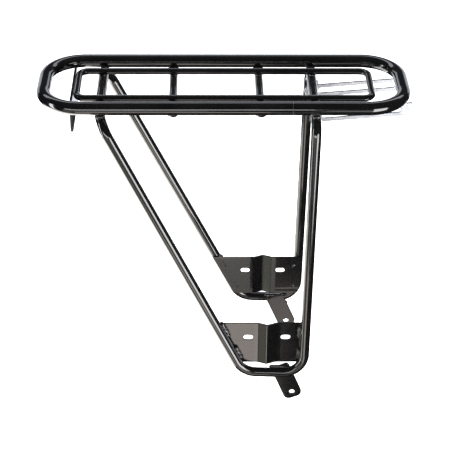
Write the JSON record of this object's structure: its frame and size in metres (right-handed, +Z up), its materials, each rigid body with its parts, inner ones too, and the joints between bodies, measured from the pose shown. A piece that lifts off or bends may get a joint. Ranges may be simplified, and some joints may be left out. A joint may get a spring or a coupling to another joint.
{
  "type": "bicycle rear carrier",
  "caption": "Welded tubular bicycle rear carrier: oval rim, inner rail on crossbars, two leg loops with slotted side plates and axle tabs, and swivelling slotted stays.",
  "frame": {"origin": "midpoint between the two axle tab holes", "axes": "+X to the front of the bicycle, +Y to its left along the axle, +Z up"},
  "size_m": [0.4417, 0.1802, 0.4159],
  "materials": {
    "frame_enamel": "gloss black stove enamel on welded steel",
    "stay_plating": "bright zinc plate",
    "fastener_steel": "zinc plated"
  },
  "bodies": {
    "rack": {"rim_tube": "frame_enamel", "inner_rail": "frame_enamel", "crossbar_mid_rear": "frame_enamel", "crossbar_mid_front": "frame_enamel", "side_tube_left": "frame_enamel", "side_tube_right": "frame_enamel", "side_plate_left": "frame_enamel", "side_plate_right": "frame_enamel", "axle_tab_left": "frame_enamel", "axle_tab_right": "frame_enamel", "lamp_bracket": "frame_enamel", "stay_lug_left": "frame_enamel", "stay_lug_right": "frame_enamel", "stay_bolts": "fastener_steel", "stay_nuts": "fastener_steel", "stay_washers": "fastener_steel", "rim_welds": "frame_enamel", "rail_welds": "frame_enamel", "plate_welds": "frame_enamel", "tab_welds": "frame_enamel", "lug_welds": "frame_enamel", "bracket_welds": "frame_enamel"},
    "stay_left": {"stay_left": "stay_plating"},
    "stay_right": {"stay_right": "stay_plating"}
  },
  "joints": [
    {"name": "stay_left_swivel", "type": "hinge", "parent": "rack", "child": "stay_left", "pos_m": [0.0177, 0.0322, 0.37217], "axis": [0, 1, 0], "range_deg": [0, 100]},
    {"name": "stay_right_swivel", "type": "hinge", "parent": "rack", "child": "stay_right", "pos_m": [0.0177, -0.0322, 0.37217], "axis": [0, 1, 0], "range_deg": [0, 100]}
  ]
}
